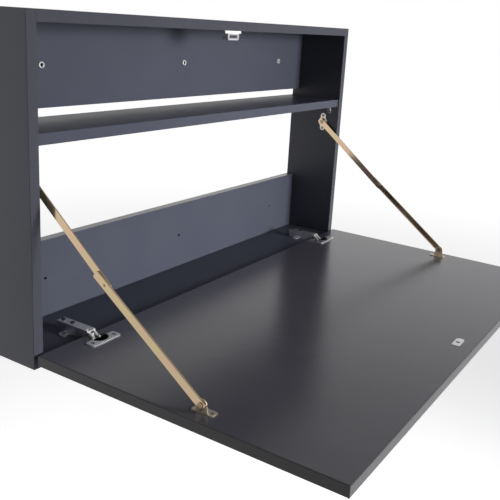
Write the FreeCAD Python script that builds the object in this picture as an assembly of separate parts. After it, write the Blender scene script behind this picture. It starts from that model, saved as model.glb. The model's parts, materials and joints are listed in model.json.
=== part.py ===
"""Fold-down wall desk: a shallow, open-backed wall cabinet whose front drops level as a writing leaf.

Millimetres. X runs along the desk, +Y points into the wall and +Z is up. The origin is the middle of
the six wall holes, on the wall plane. The leaf is modelled open, hanging level on its two folding stays.
"""
import FreeCAD
import Part
import math
import os

# Cabinet boards
cabinet_width = 1000.0
cabinet_height = 550.0
cabinet_depth = 140.0
board = 18.0
edge_band = 1.0
rail_height = 142.0
shelf_cable_gap = 17.0
shelf_setback = 3.0
shelf_end_gap = 0.5

# Dowels that join the boards, half in the side panel and half in the end of the other board
dowel_radius = 4.0
dowel_in_side = 12.0
dowel_in_end = 18.0
dowel_inset = 34.0
rail_dowel_spacing = 90.0

# Wall holes in the two rails, and the cup washers on the upper three
wall_hole_inset = 130.0
wall_hole_radius = 2.5
washer_radius = 6.5
washer_top_radius = 4.8
washer_sink_radius = 4.2
washer_height = 2.2

# Shelf supports plugged into the side panels
support_front_inset = 25.5
support_back_inset = 30.0
support_pin_radius = 2.5
support_pin_depth = 9.0
support_ledge = 15.0
support_drop = 20.0
support_peg_drop = 5.0
support_width = 9.0

# Drop leaf, open
leaf_board = 18.0
leaf_side_gap = 2.0
leaf_band = 2.0
leaf_edge_radius = 1.5
leaf_rise = 8.0
leaf_rear_gap = 6.3

# Drop leaf, closed: its gap to the cabinet front, and its reveals at the cabinet's lower and upper edges
leaf_closed_gap = 3.4
leaf_closed_reveal = 2.5
leaf_top_reveal = 1.5

# Concealed hinges: the cup in the leaf
hinge_inset = 110.0
cup_radius = 17.5
cup_depth = 13.0
cup_wall = 1.0
cup_edge_distance = 5.0
cup_collar = 1.5
wing_span = 64.0
wing_depth = 20.0
wing_forward = 11.0
wing_thickness = 1.8
wing_corner = 5.0
cup_screw_spacing = 48.0

# Concealed hinges: the mounting plate and the arm on the cabinet's bottom panel
plate_setback = 37.0
plate_thickness = 2.0
plate_length = 48.0
plate_wing_length = 48.0
plate_wing_width = 16.0
plate_wing_corner = 7.2
plate_screw_spacing = 32.0
rib_width = 10.0
arm_width = 18.0
arm_sheet = 1.0
arm_rear = 62.0
arm_eye = 2.8
arm_nose_lift = 0.6
arm_web_sheet = 1.2
arm_web_back_off = 2.8
arm_screw_radius = 2.5
arm_screw_depth = 9.0
arm_screw_head_radius = 4.0
arm_screw_head_height = 1.8
arm_fixing_screw_inset = 55.0
arm_side_screw_inset = 33.0

# Concealed hinges: the two links, and their pins
hinge_pin_radius = 1.5
running_clearance = 0.05
link_side_clearance = 0.3
outer_link_sheet = 1.3
outer_link_half_height = 2.4
outer_link_hood = 3.0
outer_link_flange = 13.5
inner_link_half_width = 3.0
inner_link_half_height = 1.3
link_eye = 2.8
link_stud_overhang = 2.0
inner_pin_overhang = 2.6
outer_pin_reach = 9.0
outer_pin_rise = 14.5
outer_cup_pin_depth = 2.0
inner_pin_reach = 2.0
inner_pin_rise = 10.5
inner_cup_pin_depth = 5.4
inner_link_bend_forward = 2.9
inner_link_bend_rise = 3.0

# Folding stays: where they are fixed, and their layers counted inward from the side panel
stay_setback = 42.0
stay_drop = 43.0
stay_fold_drop = 4.0
leaf_pivot_rise = 14.0
arm_length_difference = 0.7
left_stay_sag = 7.6
right_stay_sag = 3.2
layer_gap = 0.3
stay_plate = 1.6
channel_offset = 1.9
channel_web = 1.2
channel_depth = 3.2
channel_flange = 1.2
channel_width = 13.0
channel_overrun = 24.0
channel_corner = 3.0
bar_thickness = 2.0
bar_width = 13.0
bar_head = 9.0
bar_overrun = 8.0
bar_corner = 3.0
rivet_radius = 2.5
rivet_head_radius = 4.8
rivet_head_height = 1.0
rivet_shoulder_radius = 4.2
rivet_bore_radius = 1.7

# Folding stays: their brackets
bracket_height = 44.0
bracket_width = 14.5
bracket_bulge_radius = 12.0
bracket_boss_radius = 7.5
bracket_screw_spacing = 32.0
bracket_end_radius = 6.5
leaf_bracket_length = 38.0
leaf_bracket_width = 14.5
leaf_bracket_corner = 3.0
leaf_bracket_screw_spacing = 26.0
ear_radius = 8.5
ear_foot = 11.0

# Magnetic catch under the top panel, and its strike plate on the leaf
catch_width = 37.0
catch_height = 17.7
catch_corner = 4.0
catch_length = 14.0
catch_wall = 2.0
catch_front_inset = 0.5
catch_wing_span = 54.5
catch_wing_thickness = 5.0
catch_wing_length = 12.0
catch_wing_corner = 2.0
catch_screw_spacing = 46.0
catch_pocket_width = 25.4
catch_pocket_drop = 11.0
magnet_height = 4.0
magnet_inset = 1.0
pole_sheet = 1.2
pole_gap = 0.3
strike_length = 34.0
strike_width = 14.5
strike_thickness = 1.2
strike_offset = -3.0
strike_setback = 31.6
strike_screw_inset = 19.0

# Countersunk screws
screw_radius = 1.9
screw_head_radius = 3.8
screw_length = 13.0
recess_width = 1.0
recess_depth = 1.1
recess_reach = 2.2

# Levels and faces of the cabinet
base_z = -cabinet_height / 2
top_z = cabinet_height / 2
front_y = -cabinet_depth
inner_half = cabinet_width / 2 - board
floor_z = base_z + board
ceiling_z = top_z - board
shelf_top_z = ceiling_z - rail_height - shelf_cable_gap
shelf_under_z = shelf_top_z - board
upper_rail_mid_z = ceiling_z - rail_height / 2
lower_rail_mid_z = floor_z + rail_height / 2
wall_hole_pitch = cabinet_width / 2 - wall_hole_inset
hinge_offset = cabinet_width / 2 - hinge_inset

# The open leaf, and the line that it turns about: a quarter turn carries its rear edge from the open
# place to the closed one
leaf_top_z = floor_z + leaf_rise
leaf_under_z = leaf_top_z - leaf_board
leaf_rear_y = front_y - leaf_rear_gap
leaf_length = cabinet_height - leaf_closed_reveal - leaf_top_reveal
leaf_front_y = leaf_rear_y - leaf_length
leaf_half = cabinet_width / 2 - leaf_side_gap
closed_edge_z = base_z + leaf_closed_reveal
pole_reach = (leaf_top_z - closed_edge_z + leaf_rear_gap + leaf_closed_gap) / 2
pole_y = front_y - pole_reach
pole_z = closed_edge_z + pole_reach - leaf_rear_gap

SIDES = (("left", -1), ("right", 1))
parts = {}


def vector(x, y, z):
    return FreeCAD.Vector(x, y, z)


def block(x, y, z):
    """A box between the low and high value given for each axis."""
    low = [min(pair) for pair in (x, y, z)]
    size = [abs(pair[1] - pair[0]) for pair in (x, y, z)]
    return Part.makeBox(size[0], size[1], size[2], vector(*low))


def rod_x(y, z, radius, x_from, x_to):
    return Part.makeCylinder(radius, abs(x_to - x_from), vector(min(x_from, x_to), y, z), vector(1, 0, 0))


def rod_y(x, z, radius, y_from, y_to):
    return Part.makeCylinder(radius, abs(y_to - y_from), vector(x, min(y_from, y_to), z), vector(0, 1, 0))


def rod_z(x, y, radius, z_from, z_to):
    return Part.makeCylinder(radius, abs(z_to - z_from), vector(x, y, min(z_from, z_to)))


def sheet_x(outline, x_from, x_to):
    """A flat shape with an outline in Y and Z, as thick as the span in X."""
    low = min(x_from, x_to)
    corners = [vector(low, y, z) for y, z in outline]
    face = Part.Face(Part.makePolygon(corners + corners[:1]))
    return face.extrude(vector(abs(x_to - x_from), 0, 0))


def strip_x(start, end, half, before, after, x_from, x_to):
    """A straight strip in the Y and Z plane from start to end, run on by before and after."""
    length = math.dist(start, end)
    along = ((end[0] - start[0]) / length, (end[1] - start[1]) / length)
    across = (-along[1] * half, along[0] * half)
    tail = (start[0] - along[0] * before, start[1] - along[1] * before)
    nose = (end[0] + along[0] * after, end[1] + along[1] * after)
    outline = [
        (tail[0] - across[0], tail[1] - across[1]),
        (nose[0] - across[0], nose[1] - across[1]),
        (nose[0] + across[0], nose[1] + across[1]),
        (tail[0] + across[0], tail[1] + across[1]),
    ]
    return sheet_x(outline, x_from, x_to)


def joined(*shapes):
    """The shapes as one solid, with the seams between flush faces taken out."""
    return shapes[0].fuse(list(shapes[1:])).removeSplitter()


def rounded(shape, radius, axis, chosen):
    """Rounds the edges that run along one axis and whose middle passes the test."""
    edges = []
    for edge in shape.Edges:
        if len(edge.Vertexes) < 2:
            continue
        run = edge.Vertexes[1].Point - edge.Vertexes[0].Point
        if abs(run[axis]) > 0.999 * edge.Length and chosen(edge.CenterOfMass):
            edges.append(edge)
    return shape.makeFillet(radius, edges)


def any_edge(point):
    return True


def screw(head, direction, length):
    """A plain countersunk screw from the middle of its head's face."""
    sink = screw_head_radius - screw_radius
    cone = Part.makeCone(screw_head_radius, screw_radius, sink, head, direction)
    return joined(cone, Part.makeCylinder(screw_radius, length, head, direction))


def recess(head, direction):
    """The cross-shaped driver recess in a screw's head."""
    arms = []
    for long_axis in range(3):
        if abs(direction[long_axis]) > 0.5:
            continue
        half = [recess_depth if abs(part) > 0.5 else recess_width / 2 for part in direction]
        half[long_axis] = recess_reach
        arms.append(block(*[(head[i] - half[i], head[i] + half[i]) for i in range(3)]))
    return arms[0].fuse(arms[1])


def screws(heads, direction, length):
    """A set of like screws: the plain shapes that make their holes, and the finished screws."""
    plain = [screw(head, direction, length) for head in heads]
    done = [shape.cut(recess(head, direction)) for shape, head in zip(plain, heads)]
    return plain, done


def drilled(node, cutters):
    """Cuts holes in a piece that is already made."""
    parts[node] = parts[node].cut(cutters)


def turned(point, pivot, degrees):
    """A point of the Y and Z plane after a turn about a pivot, positive from +Y to +Z."""
    angle = math.radians(degrees)
    y = point[0] - pivot[0]
    z = point[1] - pivot[1]
    return (
        pivot[0] + y * math.cos(angle) - z * math.sin(angle),
        pivot[1] + y * math.sin(angle) + z * math.cos(angle),
    )


def closed_place(point):
    """Where a point of the open leaf lies when the leaf is closed."""
    return turned(point, (pole_y, pole_z), -90)


def heading(start, end):
    return math.degrees(math.atan2(end[1] - start[1], end[0] - start[0]))


def turn_between(start, end):
    """The shorter turn from one heading to another, in degrees."""
    return (end - start + 180) % 360 - 180


# Cabinet boards: two full-height sides, with the top, the bottom and two wall rails between them
board_front_y = front_y + edge_band
for name, side in SIDES:
    parts[name + "_side_panel"] = block(
        (side * inner_half, side * cabinet_width / 2), (board_front_y, 0), (base_z, top_z)
    )
parts["top_panel"] = block((-inner_half, inner_half), (board_front_y, 0), (ceiling_z, top_z))
parts["bottom_panel"] = block((-inner_half, inner_half), (board_front_y, 0), (base_z, floor_z))
upper_rail_low_z = ceiling_z - rail_height
lower_rail_high_z = floor_z + rail_height
parts["upper_wall_rail"] = block(
    (-inner_half, inner_half), (-board, 0), (upper_rail_low_z + edge_band, ceiling_z)
)
parts["lower_wall_rail"] = block(
    (-inner_half, inner_half), (-board, 0), (floor_z, lower_rail_high_z - edge_band)
)

# Shelf: lies loose on four supports, its back edge on the wall plane
shelf_half = inner_half - shelf_end_gap
shelf_front_y = front_y + shelf_setback
parts["shelf"] = block(
    (-shelf_half, shelf_half), (shelf_front_y + edge_band, 0), (shelf_under_z, shelf_top_z)
)

# Edge bands glued to the sawn edges that show
band_span = (front_y, board_front_y)
parts["cabinet_edge_bands"] = Part.makeCompound(
    [
        block((-cabinet_width / 2, -inner_half), band_span, (base_z, top_z)),
        block((inner_half, cabinet_width / 2), band_span, (base_z, top_z)),
        block((-inner_half, inner_half), band_span, (ceiling_z, top_z)),
        block((-inner_half, inner_half), band_span, (base_z, floor_z)),
    ]
)
parts["rail_edge_bands"] = Part.makeCompound(
    [
        block((-inner_half, inner_half), (-board, 0), (upper_rail_low_z, upper_rail_low_z + edge_band)),
        block((-inner_half, inner_half), (-board, 0), (lower_rail_high_z - edge_band, lower_rail_high_z)),
    ]
)
parts["shelf_edge_band"] = block(
    (-shelf_half, shelf_half), (shelf_front_y, shelf_front_y + edge_band), (shelf_under_z, shelf_top_z)
)

# Dowels: two in each end of every fixed board
dowel_places = []
for level in (ceiling_z + board / 2, floor_z - board / 2):
    dowel_places.append((-dowel_inset, level))
    dowel_places.append((front_y + dowel_inset, level))
for level in (upper_rail_mid_z, lower_rail_mid_z):
    dowel_places.append((-board / 2, level - rail_dowel_spacing / 2))
    dowel_places.append((-board / 2, level + rail_dowel_spacing / 2))
dowels = []
for name, side in SIDES:
    ends = (side * (inner_half + dowel_in_side), side * (inner_half - dowel_in_end))
    own = [rod_x(y, z, dowel_radius, ends[0], ends[1]) for y, z in dowel_places]
    drilled(name + "_side_panel", own)
    dowels.extend(own)
for node in ("top_panel", "bottom_panel", "upper_wall_rail", "lower_wall_rail"):
    drilled(node, dowels)
parts["carcass_dowels"] = Part.makeCompound(dowels)

# Wall holes through both rails, with a domed cup washer on each upper hole
washers = []
for x in (-wall_hole_pitch, 0.0, wall_hole_pitch):
    drilled("upper_wall_rail", rod_y(x, upper_rail_mid_z, wall_hole_radius, -board, 0))
    drilled("lower_wall_rail", rod_y(x, lower_rail_mid_z, wall_hole_radius, -board, 0))
    seat = vector(x, -board, upper_rail_mid_z)
    outward = vector(0, -1, 0)
    dome = Part.makeCone(washer_radius, washer_top_radius, washer_height, seat, outward)
    sink = Part.makeCone(wall_hole_radius, washer_sink_radius, washer_height, seat, outward)
    washers.append(dome.cut(sink))
parts["wall_cup_washers"] = Part.makeCompound(washers)

# Shelf supports: a peg in the side panel with a ledge and a gusset under it
supports = []
for name, side in SIDES:
    inner_x = side * inner_half
    ledge_x = side * (inner_half - support_ledge)
    for y in (front_y + support_front_inset, -support_back_inset):
        corners = [
            (inner_x, shelf_under_z),
            (ledge_x, shelf_under_z),
            (inner_x, shelf_under_z - support_drop),
        ]
        low_y = y - support_width / 2
        points = [vector(x, low_y, z) for x, z in corners]
        gusset = Part.Face(Part.makePolygon(points + points[:1])).extrude(vector(0, support_width, 0))
        peg_z = shelf_under_z - support_peg_drop
        peg = rod_x(y, peg_z, support_pin_radius, inner_x + side * support_pin_depth, inner_x)
        drilled(name + "_side_panel", peg)
        supports.append(joined(gusset, peg))
parts["shelf_supports"] = Part.makeCompound(supports)

# Drop leaf: one board, banded on all four edges with a rounded band
leaf_core_half = leaf_half - leaf_band
leaf_core_y = (leaf_front_y + leaf_band, leaf_rear_y - leaf_band)
leaf_z = (leaf_under_z, leaf_top_z)
parts["drop_leaf"] = block((-leaf_core_half, leaf_core_half), leaf_core_y, leaf_z)
bands = []
for outer_y, inner_y in ((leaf_rear_y, leaf_core_y[1]), (leaf_front_y, leaf_core_y[0])):
    strip = block((-leaf_half, leaf_half), (outer_y, inner_y), leaf_z)
    bands.append(rounded(strip, leaf_edge_radius, 0, lambda p, y=outer_y: abs(p.y - y) < 0.01))
for name, side in SIDES:
    strip = block((side * leaf_core_half, side * leaf_half), leaf_core_y, leaf_z)
    bands.append(rounded(strip, leaf_edge_radius, 1, lambda p, x=side * leaf_half: abs(p.x - x) < 0.01))
parts["leaf_edge_bands"] = Part.makeCompound(bands)

# Hinge pivots in the Y and Z plane. Each cup pin lies as far from its arm pin with the leaf open as with
# it closed, so the links fit both ends of the swing
hinge_cup_y = leaf_rear_y - cup_edge_distance - cup_radius
outer_pin = (front_y - outer_pin_reach, floor_z + outer_pin_rise)
inner_pin = (front_y - inner_pin_reach, floor_z + inner_pin_rise)


def cup_pin(arm_pin, depth):
    rise = leaf_top_z - depth - pole_z
    y = arm_pin[0] - pole_y
    z = arm_pin[1] - pole_z
    return (pole_y + rise * (y - z) / (y + z), leaf_top_z - depth)


outer_cup_pin = cup_pin(outer_pin, outer_cup_pin_depth)
inner_cup_pin = cup_pin(inner_pin, inner_cup_pin_depth)
arm_half = arm_width / 2
arm_inside = arm_half - arm_sheet
outer_link_half = arm_inside - link_side_clearance
link_stud_half = outer_link_half + link_stud_overhang
arm_top_z = outer_pin[1] + arm_eye
plate_top_z = floor_z + plate_thickness
plate_y = front_y + plate_setback
arm_rear_y = front_y + arm_rear
arm_web_front_y = outer_pin[0] + arm_web_back_off
cup_floor_z = leaf_top_z - cup_depth
cup_inner_radius = cup_radius - cup_wall
wing_y = hinge_cup_y - wing_forward
plate_screw_parts = []
arm_screw_parts = []
cup_screw_parts = []
arm_pin_parts = []
downward = vector(0, 0, -1)
link_slant = math.radians(heading(outer_pin, outer_cup_pin))
link_along = (math.cos(link_slant), math.sin(link_slant))
link_across = (link_along[1], -link_along[0])


def link_front(reach):
    """The outline of the outer link's front sheet, from the arm pin as far as reach."""
    low = outer_link_half_height - outer_link_sheet
    high = outer_link_half_height
    outline = []
    for run, lift in ((0, low), (reach, low), (reach, high), (0, high)):
        y = outer_pin[0] + link_along[0] * run + link_across[0] * lift
        z = outer_pin[1] + link_along[1] * run + link_across[1] * lift
        outline.append((y, z))
    return outline


for name, side in SIDES:
    middle = side * hinge_offset

    # Cup: a pressed bowl let into the leaf, with screw wings in front and two ears beside the pins
    bowl = rod_z(middle, hinge_cup_y, cup_radius, cup_floor_z, leaf_top_z)
    hollow = rod_z(middle, hinge_cup_y, cup_inner_radius, cup_floor_z + cup_wall, leaf_top_z + wing_thickness)
    collar = rod_z(middle, hinge_cup_y, cup_radius + cup_collar, leaf_top_z, leaf_top_z + wing_thickness)
    collar_front = block(
        (middle - wing_span, middle + wing_span),
        (hinge_cup_y - wing_span, hinge_cup_y),
        (leaf_top_z, leaf_top_z + wing_thickness),
    )
    wings = rounded(
        block(
            (middle - wing_span / 2, middle + wing_span / 2),
            (wing_y - wing_depth / 2, wing_y + wing_depth / 2),
            (leaf_top_z, leaf_top_z + wing_thickness),
        ),
        wing_corner,
        2,
        any_edge,
    )
    ears = []
    for turn in (-1, 1):
        ear = block(
            (middle + turn * (link_stud_half + link_side_clearance), middle + turn * cup_radius),
            (outer_cup_pin[0] - link_eye, inner_cup_pin[0] + link_eye),
            (cup_floor_z, leaf_top_z - link_side_clearance),
        )
        ears.append(ear.common(rod_z(middle, hinge_cup_y, cup_radius, cup_floor_z, leaf_top_z)))
    flange = wings.fuse(collar.common(collar_front))
    cup = joined(bowl.cut(hollow), flange.cut(hollow), *ears)
    cup_heads = [
        vector(middle + turn * cup_screw_spacing / 2, wing_y, leaf_top_z + wing_thickness) for turn in (-1, 1)
    ]
    plain, done = screws(cup_heads, downward, screw_length)
    parts[name + "_hinge_cup"] = cup.cut(plain)
    cup_screw_parts.extend(done)
    drilled("drop_leaf", [bowl] + plain)

    # Mounting plate: a cross-shaped casting screwed to the bottom panel, with a rib under the arm
    stem = block(
        (middle - arm_half, middle + arm_half),
        (plate_y - plate_length / 2, plate_y + plate_length / 2),
        (floor_z, plate_top_z),
    )
    wing = rounded(
        block(
            (middle - plate_wing_length / 2, middle + plate_wing_length / 2),
            (plate_y - plate_wing_width / 2, plate_y + plate_wing_width / 2),
            (floor_z, plate_top_z),
        ),
        plate_wing_corner,
        2,
        any_edge,
    )
    rib = block(
        (middle - rib_width / 2, middle + rib_width / 2),
        (plate_y - plate_length / 2, plate_y + plate_length / 2),
        (floor_z, arm_top_z - arm_web_sheet),
    )
    plate_heads = [
        vector(middle + turn * plate_screw_spacing / 2, plate_y, plate_top_z) for turn in (-1, 1)
    ]
    plain, done = screws(plate_heads, downward, screw_length)
    plate_screw_parts.extend(done)
    drilled("bottom_panel", plain)
    plate = joined(stem, wing, rib).cut(plain)

    # Arm: a folded channel over the rib, whose two cheeks reach out to the link pins
    cheek_outline = [
        (arm_rear_y, plate_top_z),
        (arm_rear_y, arm_top_z),
        (outer_pin[0], arm_top_z),
        (outer_pin[0], outer_pin[1] - arm_eye),
        (inner_pin[0] - arm_eye, inner_pin[1] - arm_eye + arm_nose_lift),
        (inner_pin[0] + arm_eye, inner_pin[1] - arm_eye),
        (plate_y - plate_length / 2, plate_top_z),
    ]
    cheeks = []
    for turn in (-1, 1):
        span = (middle + turn * arm_inside, middle + turn * arm_half)
        cheek = joined(
            sheet_x(cheek_outline, span[0], span[1]),
            rod_x(outer_pin[0], outer_pin[1], arm_eye, span[0], span[1]),
        )
        cheeks.append(cheek)
    web = block(
        (middle - arm_half, middle + arm_half),
        (arm_web_front_y, arm_rear_y),
        (arm_top_z - arm_web_sheet, arm_top_z),
    )
    pins = [
        rod_x(pin[0], pin[1], hinge_pin_radius, middle - arm_half, middle + arm_half)
        for pin in (outer_pin, inner_pin)
    ]
    arm_pin_parts.extend(pins)
    arm = joined(web, *cheeks).cut(pins)

    # Arm screws: the fixing screw at the back and the side adjuster in front of it
    for inset in (arm_fixing_screw_inset, arm_side_screw_inset):
        y = front_y + inset
        shank = rod_z(middle, y, arm_screw_radius, arm_top_z - arm_screw_depth, arm_top_z)
        head = rod_z(middle, y, arm_screw_head_radius, arm_top_z, arm_top_z + arm_screw_head_height)
        face = vector(middle, y, arm_top_z + arm_screw_head_height)
        arm_screw_parts.append(joined(shank, head).cut(recess(face, downward)))
        arm = arm.cut(shank)
        plate = plate.cut(shank)
    parts[name + "_hinge_plate"] = plate
    parts[name + "_hinge_arm"] = arm

    # Outer link: two cheeks inside the arm's, joined by a hood over the arm pin. Each has a riveted stud and
    # a flange that runs on from the hood, and the inner link passes between the flanges
    hole = hinge_pin_radius + running_clearance
    outer_cheeks = []
    for turn in (-1, 1):
        span = (middle + turn * (outer_link_half - outer_link_sheet), middle + turn * outer_link_half)
        outer_cheeks.append(
            joined(
                strip_x(outer_pin, outer_cup_pin, outer_link_half_height, 0, 0, span[0], span[1]),
                rod_x(outer_pin[0], outer_pin[1], link_eye, span[0], span[1]),
                rod_x(outer_cup_pin[0], outer_cup_pin[1], link_eye, span[0], span[1]),
            )
        )
    hood_span = (middle - outer_link_half, middle + outer_link_half)
    hood = sheet_x(link_front(outer_link_hood), hood_span[0], hood_span[1])
    flanges = [
        sheet_x(
            link_front(outer_link_flange),
            middle + turn * (inner_link_half_width + link_side_clearance),
            middle + turn * outer_link_half,
        )
        for turn in (-1, 1)
    ]
    arm_pin_hole = rod_x(outer_pin[0], outer_pin[1], hole, hood_span[0], hood_span[1])
    studs = []
    for turn in (-1, 1):
        span = (middle + turn * (outer_link_half - outer_link_sheet), middle + turn * link_stud_half)
        studs.append(rod_x(outer_cup_pin[0], outer_cup_pin[1], hinge_pin_radius, span[0], span[1]))
    parts[name + "_outer_link"] = joined(hood, *flanges, *outer_cheeks).cut([arm_pin_hole] + studs)
    parts[name + "_outer_link_studs"] = Part.makeCompound(studs)

    # Inner link: a bent lever that passes over the rim of the cup
    span = (middle - inner_link_half_width, middle + inner_link_half_width)
    bend = (inner_cup_pin[0] + inner_link_bend_forward, leaf_top_z + inner_link_bend_rise)
    lever = joined(
        strip_x(inner_pin, bend, inner_link_half_height, 0, 0, span[0], span[1]),
        strip_x(bend, inner_cup_pin, inner_link_half_height, 0, 0, span[0], span[1]),
        rod_x(bend[0], bend[1], inner_link_half_height, span[0], span[1]),
        rod_x(inner_pin[0], inner_pin[1], link_eye, span[0], span[1]),
        rod_x(inner_cup_pin[0], inner_cup_pin[1], link_eye, span[0], span[1]),
    )
    arm_pin_hole = rod_x(inner_pin[0], inner_pin[1], hole, span[0], span[1])
    pin_half = inner_link_half_width + inner_pin_overhang
    link_pin = rod_x(
        inner_cup_pin[0], inner_cup_pin[1], hinge_pin_radius, middle - pin_half, middle + pin_half
    )
    parts[name + "_inner_link"] = lever.cut([arm_pin_hole, link_pin])
    parts[name + "_inner_link_pin"] = link_pin

parts["hinge_cup_screws"] = Part.makeCompound(cup_screw_parts)
parts["hinge_plate_screws"] = Part.makeCompound(plate_screw_parts)
parts["hinge_arm_screws"] = Part.makeCompound(arm_screw_parts)
parts["hinge_arm_pins"] = Part.makeCompound(arm_pin_parts)

# Stay pivots in the Y and Z plane. The closed leaf brings its own pivot just below the cabinet's. The two
# arms, nearly alike in length, are almost in line when the leaf is open: each knuckle hangs a little slack
stay_pivot = (front_y + stay_setback, shelf_under_z - stay_drop)
leaf_pivot_distance = stay_pivot[1] - closed_edge_z - stay_fold_drop
leaf_pivot = (leaf_rear_y - leaf_pivot_distance, leaf_top_z + leaf_pivot_rise)
stay_reach = math.dist(stay_pivot, leaf_pivot)
stay_line = ((leaf_pivot[0] - stay_pivot[0]) / stay_reach, (leaf_pivot[1] - stay_pivot[1]) / stay_reach)
knuckle_run = (stay_reach + arm_length_difference) / 2
stay_sags = {"left": left_stay_sag, "right": right_stay_sag}
web_top = channel_offset + channel_web
channel_out = channel_offset + channel_depth
ear_out = channel_out + layer_gap
bar_low = ear_out + layer_gap
bar_high = bar_low + bar_thickness
bracket_screw_parts = []
leaf_bracket_screw_parts = []
rivet_hole_radius = rivet_radius + running_clearance


def knuckle_place(sag):
    """The knuckle with the leaf open, below the straight line between the two pivots by the sag."""
    return (
        stay_pivot[0] + stay_line[0] * knuckle_run - stay_line[1] * sag,
        stay_pivot[1] + stay_line[1] * knuckle_run + stay_line[0] * sag,
    )


def layer(side, depth):
    """The X of a layer of a stay, counted inward from the side panel's inner face."""
    return side * (inner_half - depth)


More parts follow.
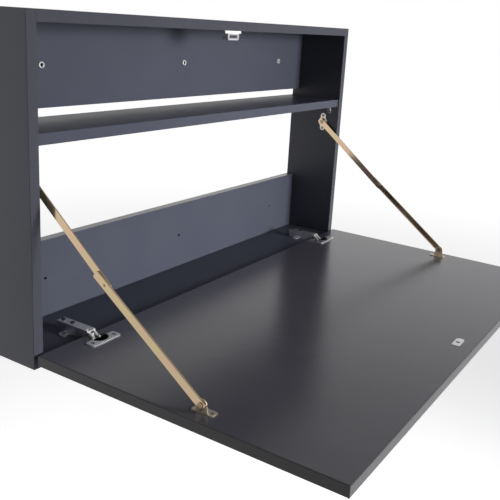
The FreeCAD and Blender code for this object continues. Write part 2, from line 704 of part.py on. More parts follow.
for name, side in SIDES:
    knuckle = knuckle_place(stay_sags[name])
    face_x = layer(side, 0)
    plate_x = layer(side, stay_plate)
    web_out_x = layer(side, channel_offset)
    web_in_x = layer(side, web_top)
    channel_x = layer(side, channel_out)
    ear_x = layer(side, ear_out)
    ear_in_x = layer(side, ear_out + stay_plate)
    bar_out_x = layer(side, bar_low)
    bar_in_x = layer(side, bar_high)

    # Cabinet bracket: a pressed plate with a raised boss that holds the upper arm clear of the channel
    plate = rounded(
        block(
            (face_x, plate_x),
            (stay_pivot[0] - bracket_width / 2, stay_pivot[0] + bracket_width / 2),
            (stay_pivot[1] - bracket_height / 2, stay_pivot[1] + bracket_height / 2),
        ),
        bracket_end_radius,
        0,
        any_edge,
    )
    bulge = rod_x(stay_pivot[0], stay_pivot[1], bracket_bulge_radius, face_x, plate_x)
    boss = rod_x(stay_pivot[0], stay_pivot[1], bracket_boss_radius, face_x, ear_x)
    head_x = layer(side, bar_high + layer_gap)
    head_top_x = layer(side, bar_high + layer_gap + rivet_head_height)
    shank = rod_x(stay_pivot[0], stay_pivot[1], rivet_radius, face_x, head_x)
    head = rod_x(stay_pivot[0], stay_pivot[1], rivet_head_radius, head_x, head_top_x)
    heads = [
        vector(plate_x, stay_pivot[0], stay_pivot[1] + turn * bracket_screw_spacing / 2)
        for turn in (-1, 1)
    ]
    plain, done = screws(heads, vector(side, 0, 0), screw_length)
    bracket_screw_parts.extend(done)
    drilled(name + "_side_panel", plain)
    parts[name + "_stay_bracket"] = joined(plate, bulge, boss).cut(plain + [shank])
    parts[name + "_stay_bracket_rivet"] = joined(shank, head)

    # Upper arm: a flat bar on the boss, with the inner half of the knuckle rivet
    bar = rounded(
        strip_x(
            stay_pivot, knuckle, bar_width / 2, bar_head, bar_overrun, bar_out_x, bar_in_x
        ),
        bar_corner,
        0,
        any_edge,
    )
    knuckle_shank = rod_x(knuckle[0], knuckle[1], rivet_radius, bar_out_x, bar_in_x)
    knuckle_head = rod_x(
        knuckle[0], knuckle[1], rivet_head_radius, bar_in_x, layer(side, bar_high + rivet_head_height)
    )
    pivot_hole = rod_x(stay_pivot[0], stay_pivot[1], rivet_hole_radius, bar_out_x, bar_in_x)
    parts[name + "_stay_upper_arm"] = bar.cut([knuckle_shank, pivot_hole])
    parts[name + "_stay_upper_knuckle"] = joined(knuckle_shank, knuckle_head)

    # Lower arm: a channel that opens inward, with the hollow outer half of the knuckle rivet
    channel = rounded(
        strip_x(
            knuckle,
            leaf_pivot,
            channel_width / 2,
            channel_overrun,
            channel_width / 2,
            web_out_x,
            channel_x,
        ),
        channel_corner,
        0,
        any_edge,
    )
    pocket = strip_x(
        knuckle,
        leaf_pivot,
        channel_width / 2 - channel_flange,
        channel_overrun + channel_width,
        channel_width,
        web_in_x,
        channel_x,
    )
    tube = rod_x(knuckle[0], knuckle[1], rivet_radius, web_out_x, web_in_x)
    shoulder = rod_x(knuckle[0], knuckle[1], rivet_shoulder_radius, web_in_x, ear_x)
    bore = rod_x(knuckle[0], knuckle[1], rivet_bore_radius, web_out_x, channel_x)
    leaf_hole = rod_x(
        leaf_pivot[0], leaf_pivot[1], rivet_hole_radius, web_out_x, web_in_x
    )
    parts[name + "_stay_lower_arm"] = channel.cut([pocket]).cut([tube, leaf_hole])
    parts[name + "_stay_lower_knuckle"] = joined(tube, shoulder).cut(bore)

    # Leaf bracket: an angle plate screwed to the leaf, with an upright ear beside the channel
    foot_y = (leaf_pivot[0] - leaf_bracket_length / 2, leaf_pivot[0] + leaf_bracket_length / 2)
    foot_top_z = leaf_top_z + stay_plate
    foot = rounded(
        block((ear_x, layer(side, ear_out + leaf_bracket_width)), foot_y, (leaf_top_z, foot_top_z)),
        leaf_bracket_corner,
        2,
        any_edge,
    )
    ear_span = (ear_x, ear_in_x)
    ear_outline = [
        (leaf_pivot[0] - ear_foot, leaf_top_z),
        (leaf_pivot[0] + ear_foot, leaf_top_z),
        (leaf_pivot[0] + ear_radius, leaf_pivot[1]),
        (leaf_pivot[0] - ear_radius, leaf_pivot[1]),
    ]
    ear = joined(
        sheet_x(ear_outline, ear_span[0], ear_span[1]),
        rod_x(leaf_pivot[0], leaf_pivot[1], ear_radius, ear_span[0], ear_span[1]),
    )
    shank = rod_x(
        leaf_pivot[0],
        leaf_pivot[1],
        rivet_radius,
        layer(side, channel_offset - layer_gap),
        ear_in_x,
    )
    shoulder = rod_x(
        leaf_pivot[0], leaf_pivot[1], rivet_shoulder_radius, layer(side, web_top + layer_gap), ear_x
    )
    outer_head = rod_x(
        leaf_pivot[0],
        leaf_pivot[1],
        rivet_head_radius,
        layer(side, channel_offset - layer_gap - rivet_head_height),
        layer(side, channel_offset - layer_gap),
    )
    inner_head = rod_x(
        leaf_pivot[0],
        leaf_pivot[1],
        rivet_head_radius,
        ear_in_x,
        layer(side, ear_out + stay_plate + rivet_head_height),
    )
    screw_x = layer(side, ear_out + stay_plate + (leaf_bracket_width - stay_plate) / 2)
    heads = [
        vector(screw_x, leaf_pivot[0] + turn * leaf_bracket_screw_spacing / 2, foot_top_z) for turn in (-1, 1)
    ]
    plain, done = screws(heads, downward, screw_length)
    leaf_bracket_screw_parts.extend(done)
    drilled("drop_leaf", plain)
    parts[name + "_leaf_bracket"] = joined(foot, ear).cut(plain + [shank])
    parts[name + "_leaf_bracket_rivet"] = joined(shank, shoulder, outer_head, inner_head)

parts["stay_bracket_screws"] = Part.makeCompound(bracket_screw_parts)
parts["leaf_bracket_screws"] = Part.makeCompound(leaf_bracket_screw_parts)

# Magnetic catch: a moulded housing under the top panel, with a magnet between two steel pole plates
strike_y = leaf_front_y + strike_setback
strike_closed = closed_place((strike_y, leaf_top_z + strike_thickness))
catch_front_y = front_y + catch_front_inset
catch_back_y = catch_front_y + catch_length
catch_low_z = ceiling_z - catch_height
stack_half = magnet_height / 2 + pole_sheet
pocket_half = catch_pocket_width / 2
pocket_mid_z = ceiling_z - catch_pocket_drop
pocket_back_y = catch_back_y - catch_wall
pole_front_y = strike_closed[0] + pole_gap
catch_y = (catch_front_y, catch_back_y)
catch_wing_z = (ceiling_z - catch_wing_thickness, ceiling_z)
catch_body = rounded(
    block((-catch_width / 2, catch_width / 2), catch_y, (catch_low_z, ceiling_z)),
    catch_corner,
    1,
    lambda p: p.z < pocket_mid_z,
)
catch_wings = rounded(
    block(
        (-catch_wing_span / 2, catch_wing_span / 2),
        (catch_front_y, catch_front_y + catch_wing_length),
        catch_wing_z,
    ),
    catch_wing_corner,
    2,
    any_edge,
)
catch_pocket = block(
    (-pocket_half, pocket_half),
    (catch_front_y, pocket_back_y),
    (pocket_mid_z - stack_half, pocket_mid_z + stack_half),
)
catch_screw_y = catch_front_y + catch_wing_length / 2
catch_heads = [vector(turn * catch_screw_spacing / 2, catch_screw_y, catch_wing_z[0]) for turn in (-1, 1)]
plain, done = screws(catch_heads, vector(0, 0, 1), screw_length)
parts["catch_housing"] = joined(catch_body, catch_wings).cut([catch_pocket] + plain)
parts["catch_screws"] = Part.makeCompound(done)
drilled("top_panel", plain)
magnet_z = (pocket_mid_z - magnet_height / 2, pocket_mid_z + magnet_height / 2)
magnet_y = (catch_front_y + magnet_inset, pocket_back_y)
parts["catch_magnet"] = block((-pocket_half, pocket_half), magnet_y, magnet_z)
parts["catch_pole_plates"] = Part.makeCompound(
    [
        block(
            (-pocket_half, pocket_half),
            (pole_front_y, pocket_back_y),
            (magnet_z[0] - pole_sheet, magnet_z[0]),
        ),
        block(
            (-pocket_half, pocket_half),
            (pole_front_y, pocket_back_y),
            (magnet_z[1], magnet_z[1] + pole_sheet),
        ),
    ]
)

# Strike plate: a small steel plate with one rounded end, held to the leaf by one screw
strike_z = (leaf_top_z, leaf_top_z + strike_thickness)
strike_round_x = strike_offset + strike_length / 2 - strike_width / 2
strike_flat = block(
    (strike_offset - strike_length / 2, strike_round_x),
    (strike_y - strike_width / 2, strike_y + strike_width / 2),
    strike_z,
)
strike_round = rod_z(strike_round_x, strike_y, strike_width / 2, strike_z[0], strike_z[1])
strike_head = vector(strike_offset + strike_length / 2 - strike_screw_inset, strike_y, strike_z[1])
plain, done = screws([strike_head], downward, screw_length)
parts["strike_plate"] = joined(strike_flat, strike_round).cut(plain)
parts["strike_screw"] = done[0]
drilled("drop_leaf", plain)

# Turns of each link and arm while the leaf closes, positive from +Y to +Z
outer_turn = turn_between(heading(outer_pin, outer_cup_pin), heading(outer_pin, closed_place(outer_cup_pin)))
inner_turn = turn_between(heading(inner_pin, inner_cup_pin), heading(inner_pin, closed_place(inner_cup_pin)))
closed_pivot = closed_place(leaf_pivot)
fold_width = math.dist(stay_pivot, closed_pivot)
print("leaf pole", round(pole_y, 4), round(pole_z, 4))
print("outer link", [round(v, 4) for v in outer_pin + outer_cup_pin], round(outer_turn, 4))
print("inner link", [round(v, 4) for v in inner_pin + inner_cup_pin], round(inner_turn, 4))
for name, sag in stay_sags.items():
    knuckle = knuckle_place(sag)
    upper_arm_length = math.dist(stay_pivot, knuckle)
    lower_arm_length = math.dist(knuckle, leaf_pivot)
    fold_angle = math.acos(
        (fold_width**2 + upper_arm_length**2 - lower_arm_length**2) / (2 * fold_width * upper_arm_length)
    )
    folded_heading = heading(stay_pivot, closed_pivot) + math.degrees(fold_angle)
    folded_knuckle = (
        stay_pivot[0] + upper_arm_length * math.cos(math.radians(folded_heading)),
        stay_pivot[1] + upper_arm_length * math.sin(math.radians(folded_heading)),
    )
    upper_turn = turn_between(heading(stay_pivot, knuckle), folded_heading)
    lower_turn = turn_between(heading(leaf_pivot, knuckle), heading(closed_pivot, folded_knuckle)) + 90
    print(name, "upper arm", [round(v, 4) for v in stay_pivot + knuckle], round(upper_turn, 4))
    print(name, "lower arm", [round(v, 4) for v in leaf_pivot + folded_knuckle], round(lower_turn, 4))

os.makedirs("parts", exist_ok=True)
for node, shape in parts.items():
    shape.exportStep("parts/" + node + ".step")
print(len(parts), "pieces,", sum(len(shape.Solids) for shape in parts.values()), "solids")
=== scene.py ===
import bmesh
import bpy
import json
import math
from mathutils import Matrix, Vector

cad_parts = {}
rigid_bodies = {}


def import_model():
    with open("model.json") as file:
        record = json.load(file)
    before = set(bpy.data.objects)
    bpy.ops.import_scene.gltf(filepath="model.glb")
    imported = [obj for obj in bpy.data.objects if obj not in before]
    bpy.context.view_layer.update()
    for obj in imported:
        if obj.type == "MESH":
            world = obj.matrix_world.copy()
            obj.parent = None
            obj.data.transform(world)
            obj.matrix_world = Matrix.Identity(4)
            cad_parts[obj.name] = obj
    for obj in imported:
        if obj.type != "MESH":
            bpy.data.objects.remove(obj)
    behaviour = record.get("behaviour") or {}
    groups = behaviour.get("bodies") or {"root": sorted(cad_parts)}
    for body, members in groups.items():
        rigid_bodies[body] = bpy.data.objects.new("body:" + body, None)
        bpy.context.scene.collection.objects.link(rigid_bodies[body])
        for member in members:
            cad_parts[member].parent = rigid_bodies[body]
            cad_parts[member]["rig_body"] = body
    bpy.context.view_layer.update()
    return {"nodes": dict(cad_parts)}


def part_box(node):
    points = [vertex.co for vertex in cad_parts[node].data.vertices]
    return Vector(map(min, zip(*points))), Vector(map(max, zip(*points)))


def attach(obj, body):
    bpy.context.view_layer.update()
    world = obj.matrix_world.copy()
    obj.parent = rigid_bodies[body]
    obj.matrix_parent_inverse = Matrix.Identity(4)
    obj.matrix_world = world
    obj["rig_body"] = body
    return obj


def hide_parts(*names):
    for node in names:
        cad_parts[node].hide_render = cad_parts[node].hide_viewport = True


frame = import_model()
nodes = frame["nodes"]

# Carcass boards: two sides, a top, a bottom and two wall rails of 18 mm particle board.
# Both faces are pressed with graphite melamine paper, which has a faint cloud of tone and fine pores.
# The boards are dowelled and glued, and each rail is drilled for the wall screws.
noise_low = 0.3
noise_high = 0.7


def add_node(tree, kind, inputs, **settings):
    made = tree.nodes.new(kind)
    for key, value in settings.items():
        setattr(made, key, value)
    for socket, value in inputs.items():
        if isinstance(value, bpy.types.NodeSocket):
            tree.links.new(value, made.inputs[socket])
        else:
            made.inputs[socket].default_value = value
    return made


def new_finish(name):
    finish = bpy.data.materials.new(name)
    finish.use_nodes = True
    tree = finish.node_tree
    shader = tree.nodes["Principled BSDF"]
    place = add_node(tree, "ShaderNodeTexCoord", {}).outputs["Object"]
    return finish, tree, shader, place


def noise(tree, place, scale, detail, roughness=0.5):
    inputs = {"Vector": place, "Scale": scale, "Detail": detail, "Roughness": roughness}
    return add_node(tree, "ShaderNodeTexNoise", inputs).outputs["Fac"]


def tone_between(tree, factor, dark, light):
    ramp = add_node(tree, "ShaderNodeValToRGB", {"Fac": factor})
    ramp.color_ramp.elements[0].position = noise_low
    ramp.color_ramp.elements[0].color = (*dark, 1)
    ramp.color_ramp.elements[1].position = noise_high
    ramp.color_ramp.elements[1].color = (*light, 1)
    return ramp.outputs["Color"]


def sheen_between(tree, factor, smooth, rough, low=0.0, high=1.0):
    inputs = {"Value": factor, "From Min": low, "From Max": high, "To Min": smooth, "To Max": rough}
    return add_node(tree, "ShaderNodeMapRange", inputs).outputs["Result"]


def dress(tree, shader, tone, sheen, height, strength, distance):
    relief = add_node(tree, "ShaderNodeBump", {"Height": height, "Strength": strength, "Distance": distance})
    tree.links.new(tone, shader.inputs["Base Color"])
    tree.links.new(sheen, shader.inputs["Roughness"])
    tree.links.new(relief.outputs["Normal"], shader.inputs["Normal"])


def melamine(name, dark, light, smooth, rough, gloss):
    finish, tree, shader, place = new_finish(name)
    cloud = noise(tree, place, scale=9.0, detail=6.0, roughness=0.65)
    pores = noise(tree, place, scale=1500.0, detail=2.0)
    tone = tone_between(tree, cloud, dark, light)
    sheen = sheen_between(tree, cloud, smooth, rough, noise_low, noise_high)
    dress(tree, shader, tone, sheen, pores, strength=0.12, distance=0.0003)
    shader.inputs["Specular IOR Level"].default_value = gloss
    return finish


def refinish(names, finish):
    for node in names:
        nodes[node].material_slots[0].material = finish


side_face = melamine(
    "graphite_side_melamine",
    dark=(0.062, 0.064, 0.08),
    light=(0.07, 0.072, 0.09),
    smooth=0.34,
    rough=0.38,
    gloss=0.35,
)
refinish(("left_side_panel", "right_side_panel"), side_face)
board_face = melamine(
    "graphite_melamine",
    dark=(0.067, 0.071, 0.097),
    light=(0.077, 0.081, 0.108),
    smooth=0.42,
    rough=0.46,
    gloss=0.12,
)
refinish(("top_panel", "upper_wall_rail", "lower_wall_rail"), board_face)
# This darker copy, for the bottom panel and the shelf, is painted shade on their upward faces.
level_painted_shade = melamine(
    "graphite_painted_shade_melamine",
    dark=(0.043, 0.046, 0.066),
    light=(0.049, 0.052, 0.074),
    smooth=0.36,
    rough=0.4,
    gloss=0.2,
)
refinish(("bottom_panel",), level_painted_shade)

# Carcass dowels: plain beech pegs, glued partly into a side panel and partly into a board's end.
# They are raw turned wood and lie hidden in their holes once the carcass is together.
grain_stretch = (40.0, 700.0, 700.0)
beech, beech_tree, beech_shader, beech_place = new_finish("raw_beech")
beech_run = add_node(beech_tree, "ShaderNodeMapping", {"Vector": beech_place, "Scale": grain_stretch})
beech_grain = noise(beech_tree, beech_run.outputs["Vector"], scale=1.0, detail=2.0)
beech_tone = tone_between(beech_tree, beech_grain, dark=(0.46, 0.29, 0.15), light=(0.64, 0.45, 0.27))
beech_sheen = sheen_between(beech_tree, beech_grain, smooth=0.55, rough=0.8)
dress(beech_tree, beech_shader, beech_tone, beech_sheen, beech_grain, strength=0.3, distance=0.0004)
refinish(("carcass_dowels",), beech)

# Shelf: a loose melamine board of the same make, in the bottom panel's darker copy of the melamine, which is
# painted shade.
# It lies on four supports, with its back edge against the wall, and can be lifted out.
refinish(("shelf",), level_painted_shade)

# Edge bands of the cabinet, rails and shelf: 1 mm plastic strip close to the board's colour.
# They are glued to the sawn edges and trimmed with a slight round on each corner.
# The rails' bands are glossier than the others, and are painted lighter as a painted highlight along the
# rails' edges.
band_thickness = 0.001
band_round = 0.0004
crease_angle = 0.7


def finished_piece(shape, name, body, finish, rounds=()):
    round_faces = set(rounds)
    for edge in shape.edges:
        if len(edge.link_faces) == 2:
            alike = (edge.link_faces[0] in round_faces) == (edge.link_faces[1] in round_faces)
            edge.smooth = alike and edge.calc_face_angle() < crease_angle
    mesh = bpy.data.meshes.new(name)
    shape.to_mesh(mesh)
    shape.free()
    mesh.polygons.foreach_set("use_smooth", [True] * len(mesh.polygons))
    mesh.materials.append(finish)
    piece = bpy.data.objects.new(name, mesh)
    bpy.context.scene.collection.objects.link(piece)
    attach(piece, body)
    return piece


def rounded(shape, edges, round_by, segments, clamp_overlap):
    made = bmesh.ops.bevel(
        shape,
        geom=edges,
        offset=round_by,
        offset_type="OFFSET",
        segments=segments,
        profile=0.5,
        affect="EDGES",
        material=-1,
        clamp_overlap=clamp_overlap,
    )
    return made["faces"]


def add_strip(shape, low, high):
    low = Vector(low)
    high = Vector(high)
    made = bmesh.ops.create_cube(shape, size=1.0)["verts"]
    bmesh.ops.scale(shape, vec=high - low, verts=made)
    bmesh.ops.translate(shape, vec=(low + high) / 2, verts=made)
    corners = dict.fromkeys(edge for vertex in made for edge in vertex.link_edges)
    return rounded(shape, list(corners), band_round, segments=3, clamp_overlap=False)


band_face = melamine(
    "graphite_edge_band",
    dark=(0.06, 0.062, 0.078),
    light=(0.067, 0.069, 0.086),
    smooth=0.42,
    rough=0.46,
    gloss=0.15,
)
front_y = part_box("cabinet_edge_bands")[0].y
cabinet_bands = bmesh.new()
cabinet_rounds = []
for node in ("left_side_panel", "right_side_panel", "top_panel", "bottom_panel"):
    low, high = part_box(node)
    cabinet_rounds += add_strip(cabinet_bands, (low.x, front_y, low.z), (high.x, low.y, high.z))
piece = finished_piece(
    cabinet_bands, "cabinet_front_bands", "cabinet", band_face, cabinet_rounds
)
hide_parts("cabinet_edge_bands")

# A lighter copy of the band, as painted highlight on the rails' edges.
rail_band_painted_highlight = melamine(
    "painted_highlight_rail_band",
    dark=(0.1, 0.1, 0.122),
    light=(0.11, 0.11, 0.134),
    smooth=0.18,
    rough=0.22,
    gloss=0.6,
)
upper_low, upper_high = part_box("upper_wall_rail")
lower_low, lower_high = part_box("lower_wall_rail")
upper_edge = Vector((upper_high.x, upper_high.y, upper_low.z))
lower_edge = Vector((lower_low.x, lower_low.y, lower_high.z))
band_lift = Vector((0.0, 0.0, band_thickness))
rail_bands = bmesh.new()
rail_rounds = add_strip(rail_bands, lower_edge, lower_high + band_lift)
rail_rounds += add_strip(rail_bands, upper_low - band_lift, upper_edge)
piece = finished_piece(rail_bands, "wall_rail_bands", "cabinet", rail_band_painted_highlight, rail_rounds)
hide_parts("rail_edge_bands")

shelf_band = bmesh.new()
shelf_rounds = add_strip(shelf_band, *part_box("shelf_edge_band"))
piece = finished_piece(shelf_band, "shelf_front_band", "cabinet", board_face, shelf_rounds)
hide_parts("shelf_edge_band")

# Wall cup washers: three pressed cups of nickel-plated steel on the upper rail's holes.
# Each is turned up from sheet, domed outside and dished inside for the head of the wall screw.
# The profile gives radius and height above the rail, and is spun about each hole.
washer_profile = (
    (0.0025, 0.0),
    (0.0065, 0.0),
    (0.0064, 0.0008),
    (0.0059, 0.0016),
    (0.0051, 0.0021),
    (0.0043, 0.0022),
    (0.0035, 0.0020),
    (0.0028, 0.0013),
)
washer_places = (-0.37, 0.0, 0.37)
washer_steps = 40
washer_weld = 0.000001


def plated_steel(name, dark, light, smooth, rough):
    finish, tree, shader, place = new_finish(name)
    cloud = noise(tree, place, scale=120.0, detail=4.0)
    scuffs = noise(tree, place, scale=900.0, detail=3.0)
    tone = tone_between(tree, cloud, dark, light)
    sheen = sheen_between(tree, scuffs, smooth, rough)
    dress(tree, shader, tone, sheen, scuffs, strength=0.1, distance=0.0001)
    shader.inputs["Metallic"].default_value = 1.0
    return finish


washer_nickel = plated_steel(
    "washer_nickel", dark=(0.44, 0.44, 0.45), light=(0.54, 0.54, 0.55), smooth=0.44, rough=0.58
)
rail_face = upper_low.y
washer_level = (upper_low.z - band_thickness + upper_high.z) / 2
washers = bmesh.new()
for place_x in washer_places:
    ring = []
    for radius, lift in washer_profile:
        ring.append(washers.verts.new((place_x + radius, rail_face - lift, washer_level)))
    edges = [washers.edges.new((ring[index - 1], ring[index])) for index in range(len(ring))]
    bmesh.ops.spin(
        washers,
        geom=ring + edges,
        cent=(place_x, rail_face, washer_level),
        axis=(0, 1, 0),
        angle=math.tau,
        steps=washer_steps,
        use_merge=True,
    )
bmesh.ops.remove_doubles(washers, verts=washers.verts, dist=washer_weld)
bmesh.ops.recalc_face_normals(washers, faces=washers.faces)
piece = finished_piece(washers, "domed_cup_washers", "cabinet", washer_nickel)
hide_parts("wall_cup_washers")

# Shelf supports: moulded grey nylon, each a ledge over a gusset with a peg plugged into the side panel.
# The mould leaves every corner slightly round.
support_round = 0.0003
weld_distance = 0.000002
flat_angle = 0.01


def softened(node, name, round_by, finish):
    shape = bmesh.new()
    shape.from_mesh(nodes[node].data)
    bmesh.ops.remove_doubles(shape, verts=shape.verts, dist=weld_distance)
    bmesh.ops.dissolve_limit(shape, angle_limit=flat_angle, verts=shape.verts, edges=shape.edges)
    corners = []
    for edge in shape.edges:
        if len(edge.link_faces) == 2 and edge.calc_face_angle() > crease_angle:
            corners.append(edge)
    rounds = rounded(shape, corners, round_by, segments=2, clamp_overlap=True)
    piece = finished_piece(shape, name, nodes[node]["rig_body"], finish, rounds)
    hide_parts(node)
    return piece


def moulded(name, dark, light, smooth, rough):
    finish, tree, shader, place = new_finish(name)
    flow = noise(tree, place, scale=160.0, detail=3.0)
    spark = noise(tree, place, scale=2600.0, detail=1.0)
    tone = tone_between(tree, flow, dark, light)
    sheen = sheen_between(tree, flow, smooth, rough)
    dress(tree, shader, tone, sheen, spark, strength=0.2, distance=0.0001)
    return finish


nylon = moulded("grey_nylon", dark=(0.26, 0.26, 0.28), light=(0.34, 0.34, 0.36), smooth=0.4, rough=0.55)
softened("shelf_supports", "moulded_shelf_supports", support_round, nylon)

# Drop leaf: the writing surface, one 18 mm melamine board with a 2 mm rounded band on all four edges.
# It is bored for the two hinge cups. Its face is smoother and glossier than the carcass boards.
leaf_face = melamine(
    "graphite_leaf_melamine",
    dark=(0.056, 0.056, 0.07),
    light=(0.062, 0.062, 0.077),
    smooth=0.2,
    rough=0.22,
    gloss=1.0,
)
refinish(("drop_leaf",), leaf_face)
leaf_band_face = melamine(
    "graphite_leaf_band",
    dark=(0.066, 0.065, 0.07),
    light=(0.073, 0.072, 0.077),
    smooth=0.36,
    rough=0.4,
    gloss=0.3,
)
refinish(("leaf_edge_bands",), leaf_band_face)

# Concealed hinges: pressed and plated steel. The plate is screwed to the bottom panel, the arm is
# clamped on it with two screws, and two links join the arm to the cup that is let into the leaf.
# The inside of the cup is painted near-black as painted shade, and the inner link is painted darker than the
# outer one as painted shade.
plate_round = 0.0004
arm_round = 0.0003
cup_round = 0.0004
link_round = 0.0002
cup_radius = 0.0175
cup_wall_margin = 0.0008
cup_rim_margin = 0.0002
nickel = plated_steel(
    "hinge_nickel", dark=(0.72, 0.72, 0.73), light=(0.86, 0.86, 0.87), smooth=0.3, rough=0.44
)
link_steel = plated_steel(
    "satin_link_steel", dark=(0.6, 0.6, 0.61), light=(0.72, 0.72, 0.73), smooth=0.42, rough=0.56
)
# A darker copy of the link steel, as painted shade on the inner link's lit front.
inner_link_painted_shade = plated_steel(
    "painted_shade_inner_link_steel", dark=(0.28, 0.28, 0.285), light=(0.34, 0.34, 0.345), smooth=0.5, rough=0.62
)
cup_painted_shade = moulded(
    "painted_shade_cup_hollow", dark=(0.012, 0.012, 0.014), light=(0.02, 0.02, 0.022), smooth=0.5, rough=0.65
)
leaf_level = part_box("drop_leaf")[1].z
for side in ("left", "right"):
    softened(side + "_hinge_plate", side + "_pressed_hinge_plate", plate_round, nickel)
    softened(side + "_hinge_arm", side + "_folded_hinge_arm", arm_round, nickel)
    cup = softened(side + "_hinge_cup", side + "_drawn_hinge_cup", cup_round, nickel)
    cup.data.materials.append(cup_painted_shade)
    cup_low, cup_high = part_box(side + "_hinge_cup")
    cup_middle = Vector(((cup_low.x + cup_high.x) / 2, cup_high.y - cup_radius))
    # Faces inside the cup and below the leaf's face take the painted shade.
    for face in cup.data.polygons:
        inside = (face.center.xy - cup_middle).length < cup_radius - cup_wall_margin
        if inside and face.center.z < leaf_level + cup_rim_margin:
            face.material_index = 1
    softened(side + "_outer_link", side + "_folded_outer_link", link_round, link_steel)
    softened(side + "_inner_link", side + "_bent_inner_link", link_round, inner_link_painted_shade)
    refinish((side + "_outer_link_studs", side + "_inner_link_pin"), nickel)
refinish(("hinge_arm_pins",), nickel)

# Hinge plate, leaf bracket and catch screws: countersunk and cross-recessed steel with bright zinc plating.
# Each is driven into its board until the head lies flush with the sheet that it holds.
zinc = plated_steel("bright_zinc", dark=(0.42, 0.42, 0.42), light=(0.6, 0.6, 0.59), smooth=0.22, rough=0.42)
refinish(("hinge_plate_screws", "leaf_bracket_screws", "catch_screws"), zinc)

# Cup, stay bracket and strike screws: the same countersunk screws, coloured a darker grey.
# They hold the hinge cups and the strike plate to the leaf and the stay brackets to the side panels.
dull_zinc = plated_steel("dull_zinc", dark=(0.2, 0.2, 0.2), light=(0.3, 0.3, 0.3), smooth=0.34, rough=0.5)
refinish(("hinge_cup_screws", "stay_bracket_screws", "strike_screw"), dull_zinc)

# Hinge arm screws: steel with a cross recess in a flat head, painted near-black as painted shade so that they
# read as shadowed slots.
# Each arm has a fixing screw that clamps it to the plate, and a side adjuster in front of that.
arm_screw_painted_shade = plated_steel(
    "painted_shade_screw_steel", dark=(0.05, 0.05, 0.052), light=(0.09, 0.09, 0.092), smooth=0.35, rough=0.5
)
refinish(("hinge_arm_screws",), arm_screw_painted_shade)

# Folding stays: yellow-zinc steel, a flat bar riveted to a bracket on each side panel and a channel
# riveted to a bracket on the leaf, joined at a knuckle. The plating drifts from straw to pink.
# Each row gives a node, its new piece, the round on its corners and its finish.
yellow_zinc, zinc_tree, zinc_shader, zinc_place = new_finish("yellow_zinc_plate")
drift = noise(zinc_tree, zinc_place, scale=45.0, detail=3.0)
rolling = noise(zinc_tree, zinc_place, scale=90.0, detail=2.0)
plating = add_node(zinc_tree, "ShaderNodeValToRGB", {"Fac": drift})
straw = plating.color_ramp.elements[0]
straw.position = 0.32
straw.color = (0.585, 0.485, 0.275, 1)
pink = plating.color_ramp.elements[1]
pink.position = 0.68
pink.color = (0.65, 0.435, 0.31, 1)
tan = plating.color_ramp.elements.new(position=0.5)
tan.color = (0.6, 0.455, 0.295, 1)
zinc_sheen = sheen_between(zinc_tree, rolling, smooth=0.11, rough=0.17)
dress(zinc_tree, zinc_shader, plating.outputs["Color"], zinc_sheen, rolling, strength=0.04, distance=0.0002)
zinc_shader.inputs["Metallic"].default_value = 1.0
bracket_zinc = plated_steel(
    "pale_bracket_zinc", dark=(0.54, 0.5, 0.42), light=(0.64, 0.6, 0.52), smooth=0.22, rough=0.34
)
foot_zinc = plated_steel(
    "yellowed_foot_zinc", dark=(0.54, 0.46, 0.34), light=(0.68, 0.6, 0.47), smooth=0.3, rough=0.44
)
rivet_zinc = plated_steel(
    "aged_rivet_zinc", dark=(0.3, 0.23, 0.15), light=(0.4, 0.31, 0.2), smooth=0.26, rough=0.4
)
stay_rows = (
    ("_stay_bracket", "_pressed_stay_bracket", 0.0005, bracket_zinc),
    ("_stay_bracket_rivet", "_stay_pivot_rivet", 0.0004, rivet_zinc),
    ("_stay_upper_arm", "_flat_upper_arm", 0.0003, yellow_zinc),
    ("_stay_upper_knuckle", "_knuckle_rivet", 0.0005, yellow_zinc),
    ("_stay_lower_arm", "_channel_lower_arm", 0.0004, yellow_zinc),
    ("_stay_lower_knuckle", "_knuckle_sleeve", 0.0002, yellow_zinc),
    ("_leaf_bracket", "_angle_leaf_bracket", 0.0004, foot_zinc),
    ("_leaf_bracket_rivet", "_leaf_pivot_rivet", 0.0004, rivet_zinc),
)
for side in ("left", "right"):
    for node, name, round_by, finish in stay_rows:
        softened(side + node, side + name, round_by, finish)

# Magnetic catch: a pale grey moulded housing screwed under the top panel, with a sintered magnet
# held between two plated steel pole plates. The leaf's strike plate meets the poles when it closes.
# The housing's front is cut at the foot of its wings, and below that it is painted a darker grey as painted
# shade.
housing_round = 0.0005
pole_round = 0.0002
wing_height = 0.0052
front_turn = -0.5
catch_plastic = moulded(
    "pale_catch_plastic", dark=(0.9, 0.9, 0.93), light=(0.95, 0.95, 0.97), smooth=0.35, rough=0.5
)
catch_front_painted_shade = moulded(
    "painted_shade_catch_front", dark=(0.52, 0.52, 0.55), light=(0.58, 0.58, 0.61), smooth=0.4, rough=0.55
)
catch = softened("catch_housing", "moulded_catch_housing", housing_round, catch_plastic)
catch.data.materials.append(catch_front_painted_shade)
wing_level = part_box("catch_housing")[1].z - wing_height
catch_shape = bmesh.new()
catch_shape.from_mesh(catch.data)
bmesh.ops.bisect_plane(
    catch_shape,
    geom=catch_shape.verts[:] + catch_shape.edges[:] + catch_shape.faces[:],
    plane_co=(0.0, 0.0, wing_level),
    plane_no=(0.0, 0.0, 1.0),
)
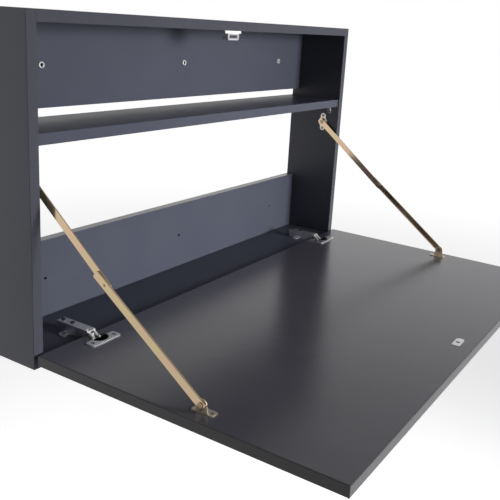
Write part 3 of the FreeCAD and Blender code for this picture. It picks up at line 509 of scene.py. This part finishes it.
# Front faces below the wings take the painted shade.
for face in catch_shape.faces:
    if face.normal.y < front_turn and face.calc_center_median().z < wing_level:
        face.material_index = 1
catch_shape.to_mesh(catch.data)
catch_shape.free()
pole_steel = plated_steel(
    "dull_pole_steel", dark=(0.16, 0.16, 0.17), light=(0.24, 0.24, 0.25), smooth=0.35, rough=0.5
)
softened("catch_pole_plates", "sheared_pole_plates", pole_round, pole_steel)
sintered = moulded(
    "sintered_magnet", dark=(0.035, 0.035, 0.04), light=(0.06, 0.06, 0.065), smooth=0.5, rough=0.7
)
refinish(("catch_magnet",), sintered)

# Strike plate: a small plate sheared from bright zinc-plated steel, with one rounded end.
# It is held to the leaf by one screw and meets the catch's poles when the leaf closes.
strike_round = 0.0003
strike_zinc = plated_steel(
    "strike_zinc", dark=(0.8, 0.8, 0.82), light=(0.9, 0.9, 0.92), smooth=0.26, rough=0.4
)
softened("strike_plate", "sheared_strike_plate", strike_round, strike_zinc)

# Studio: a pale floor well below the desk, which glows for sight and mirrors and takes the shadow.
# A white surround shows behind the desk and in its glossy faces, dimmer overhead.
# Three soft lamps light it unmirrored, and a fourth glints in the plated pieces alone.
floor_level = -1.0
floor_half_width = 12.0
white = (1.0, 1.0, 1.0, 1)
floor_shape = bmesh.new()
bmesh.ops.create_grid(floor_shape, x_segments=1, y_segments=1, size=floor_half_width)
bmesh.ops.translate(floor_shape, vec=(0.0, 0.0, floor_level), verts=floor_shape.verts)
floor_mesh = bpy.data.meshes.new("studio_floor")
floor_shape.to_mesh(floor_mesh)
floor_shape.free()
floor_finish, floor_tree, floor_shader, floor_place = new_finish("pale_floor")
floor_shader.inputs["Base Color"].default_value = (0.85, 0.85, 0.86, 1)
floor_shader.inputs["Roughness"].default_value = 0.9
floor_shader.inputs["Specular IOR Level"].default_value = 0.0
floor_shader.inputs["Emission Color"].default_value = white
floor_reach = add_node(floor_tree, "ShaderNodeVectorMath", {0: floor_place}, operation="LENGTH")
floor_glow = add_node(
    floor_tree,
    "ShaderNodeMapRange",
    {"Value": floor_reach.outputs["Value"], "From Min": 1.6, "From Max": 4.5, "To Min": 0.62, "To Max": 0.97},
)


def larger(tree, first, second):
    return add_node(tree, "ShaderNodeMath", {0: first, 1: second}, operation="MAXIMUM").outputs[0]


floor_ray = add_node(floor_tree, "ShaderNodeLightPath", {}).outputs
floor_seen = larger(floor_tree, floor_ray["Is Camera Ray"], floor_ray["Is Transmission Ray"])
floor_seen_or_mirrored = larger(floor_tree, floor_seen, floor_ray["Is Glossy Ray"])
floor_shown = add_node(
    floor_tree,
    "ShaderNodeMath",
    {0: floor_seen_or_mirrored, 1: floor_glow.outputs["Result"]},
    operation="MULTIPLY",
)
floor_tree.links.new(floor_shown.outputs[0], floor_shader.inputs["Emission Strength"])
floor_mesh.materials.append(floor_finish)
floor = bpy.data.objects.new("studio_floor", floor_mesh)
bpy.context.scene.collection.objects.link(floor)

surround = bpy.data.worlds.new("white_surround")
surround.use_nodes = True
sky = surround.node_tree
sky_light = sky.nodes["Background"]
sky_light.inputs["Color"].default_value = white
sky_light.inputs["Strength"].default_value = 0.08
sky_shown = add_node(sky, "ShaderNodeBackground", {"Color": white, "Strength": 1.0})
sky_way = add_node(sky, "ShaderNodeTexCoord", {}).outputs["Generated"]
sky_height = add_node(sky, "ShaderNodeSeparateXYZ", {"Vector": sky_way})
sky_fall = add_node(
    sky,
    "ShaderNodeMapRange",
    {"Value": sky_height.outputs["Z"], "From Min": 0.26, "From Max": 0.48, "To Min": 1.0, "To Max": 0.4},
)
sky_mirrored = add_node(sky, "ShaderNodeBackground", {"Color": white, "Strength": sky_fall.outputs["Result"]})
sky_ray = add_node(sky, "ShaderNodeLightPath", {}).outputs
sky_seen = larger(sky, sky_ray["Is Camera Ray"], sky_ray["Is Transmission Ray"])
sky_lit_or_mirrored = add_node(
    sky,
    "ShaderNodeMixShader",
    {0: sky_ray["Is Glossy Ray"], 1: sky_light.outputs[0], 2: sky_mirrored.outputs[0]},
)
sky_mix = add_node(
    sky,
    "ShaderNodeMixShader",
    {0: sky_seen, 1: sky_lit_or_mirrored.outputs[0], 2: sky_shown.outputs[0]},
)
sky.links.new(sky_mix.outputs[0], sky.nodes["World Output"].inputs["Surface"])
bpy.context.scene.world = surround


def soft_lamp(name, place, aim, size, power, spread, mirrored):
    lamp = bpy.data.lights.new(name, "AREA")
    lamp.shape = "DISK"
    lamp.size = size
    lamp.energy = power
    lamp.spread = math.radians(spread)
    made = bpy.data.objects.new(name, lamp)
    made.location = place
    made.visible_camera = False
    made.visible_glossy = mirrored
    made.rotation_euler = (Vector(aim) - Vector(place)).to_track_quat("-Z", "Y").to_euler()
    bpy.context.scene.collection.objects.link(made)
    return made


front = {"place": (0.6, -3.1, 0.35), "aim": (0.0, -0.2, -0.5), "size": 1.2, "power": 17.6, "spread": 58.0}
top = {"place": (0.6, -0.6, 2.6), "aim": (0.0, -0.3, 0.0), "size": 2.0, "power": 7.0, "spread": 180.0}
left = {"place": (-1.4, 0.25, 0.1), "aim": (-0.5, -0.1, 0.0), "size": 0.5, "power": 2.5, "spread": 180.0}
soft_lamp("front_lamp", **front, mirrored=False)
soft_lamp("top_lamp", **top, mirrored=False)
soft_lamp("left_lamp", **left, mirrored=False)
glint_lamp = soft_lamp("glint_lamp", **front, mirrored=True)
plated_pieces = bpy.data.collections.new("plated_pieces")
for piece in bpy.context.scene.objects:
    if piece.type == "MESH":
        piece_shader = piece.material_slots[0].material.node_tree.nodes["Principled BSDF"]
        if piece_shader.inputs["Metallic"].default_value == 1.0:
            plated_pieces.objects.link(piece)
glint_lamp.light_linking.receiver_collection = plated_pieces

# Camera: the photograph's own view, from the front left and a little above the leaf.
# Its place, turn, lens and shift were fitted to the corners of the boards.
camera_place = (-1.20008, -0.9857, 0.27763)
turn_degrees = -59.0831
tip_degrees = -15.1784
roll_degrees = -3.8511
upright_degrees = 90.0
view_turn = (
    Matrix.Rotation(math.radians(turn_degrees), 4, "Z")
    @ Matrix.Rotation(math.radians(tip_degrees), 4, "X")
    @ Matrix.Rotation(math.radians(roll_degrees), 4, "Y")
    @ Matrix.Rotation(math.radians(upright_degrees), 4, "X")
)
lens = bpy.data.cameras.new("photo_camera")
lens.sensor_width = 36.0
lens.lens = 52.2016
lens.shift_x = -0.05415
lens.shift_y = -0.05999
camera = bpy.data.objects.new("photo_camera", lens)
camera.matrix_world = Matrix.Translation(camera_place) @ view_turn
bpy.context.scene.collection.objects.link(camera)
bpy.context.scene.camera = camera
bpy.context.scene.view_settings.view_transform = "Standard"
